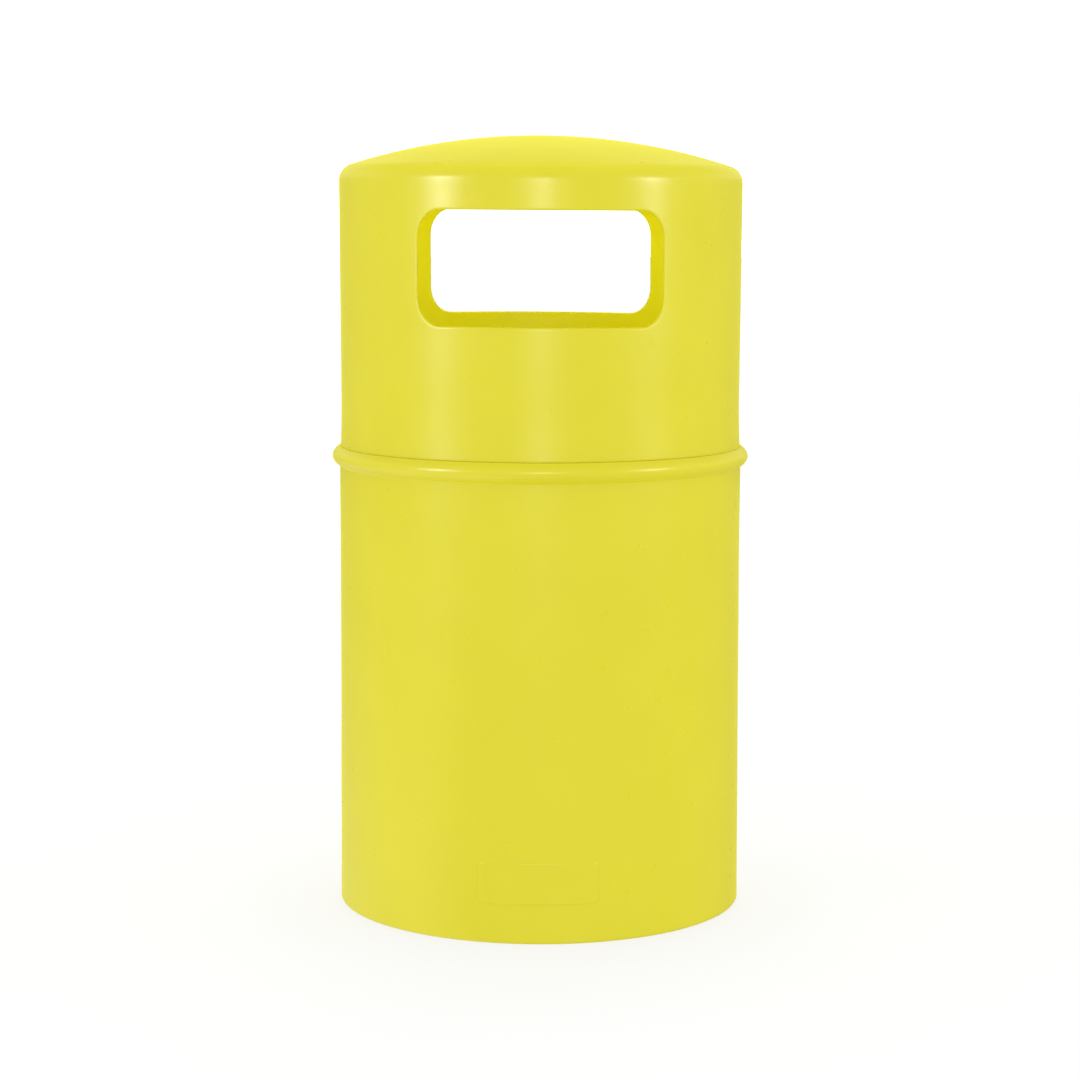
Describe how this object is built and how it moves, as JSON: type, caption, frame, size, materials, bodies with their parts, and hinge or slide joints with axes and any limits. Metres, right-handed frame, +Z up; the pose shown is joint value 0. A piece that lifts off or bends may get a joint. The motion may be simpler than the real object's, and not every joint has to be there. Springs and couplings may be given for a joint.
{
  "type": "closed-top litter bin",
  "caption": "Round free-standing litter bin with a domed lift-off hood, wide openings front and rear, a raised bead round its rim and a lift-out metal bucket inside.",
  "frame": {"origin": "centre of the foot ring, in the plane the bin stands on", "axes": "+Z up, -Y towards the front, +X to the right seen from the front"},
  "size_m": [0.4976, 0.4976, 0.92],
  "materials": {
    "yellow_plastic": "semi-gloss moulded polyethylene, yellow",
    "galvanised_steel": "dull galvanised sheet with a faint spangle",
    "zinc_plate": "bright zinc-plated steel",
    "black_rubber": "matt black rubber"
  },
  "bodies": {
    "body": {"body_shell": "yellow_plastic", "keeper_bracket": "galvanised_steel", "keeper_bolt_lower": "zinc_plate", "keeper_bolt_upper": "zinc_plate", "keeper_washer_lower": "zinc_plate", "keeper_washer_upper": "zinc_plate", "keeper_nut_lower": "zinc_plate", "keeper_nut_upper": "zinc_plate"},
    "hood": {"hood_shell": "yellow_plastic", "lock_housing": "zinc_plate", "lock_gasket": "black_rubber", "lock_nut": "zinc_plate"},
    "lock": {"lock_spindle": "zinc_plate", "lock_cam": "zinc_plate", "cam_washer": "zinc_plate", "cam_screw": "zinc_plate"},
    "liner": {"liner_wall": "galvanised_steel", "liner_base": "galvanised_steel", "liner_rim_wire": "galvanised_steel", "handle_clip_right": "galvanised_steel", "handle_clip_left": "galvanised_steel", "clip_rivet_right_front": "zinc_plate", "clip_rivet_right_rear": "zinc_plate", "clip_rivet_left_front": "zinc_plate", "clip_rivet_left_rear": "zinc_plate"},
    "right_handle": {"handle_right": "zinc_plate"},
    "left_handle": {"handle_left": "zinc_plate"}
  },
  "joints": [
    {"name": "hood_lift", "type": "slide", "parent": "body", "child": "hood", "axis": [0, 0, 1], "range_m": [0, 0.3]},
    {"name": "lock_turn", "type": "hinge", "parent": "hood", "child": "lock", "pos_m": [0, 0.23, 0.5898], "axis": [0, 1, 0], "range_deg": [0, 90]},
    {"name": "liner_lift", "type": "slide", "parent": "body", "child": "liner", "axis": [0, 0, 1], "range_m": [0, 0.25]},
    {"name": "right_handle_swing", "type": "hinge", "parent": "liner", "child": "right_handle", "pos_m": [0.1859, 0, 0.5305], "axis": [0, 1, 0], "range_deg": [0, 180]},
    {"name": "left_handle_swing", "type": "hinge", "parent": "liner", "child": "left_handle", "pos_m": [-0.1859, 0, 0.5305], "axis": [0, -1, 0], "range_deg": [0, 180]}
  ]
}
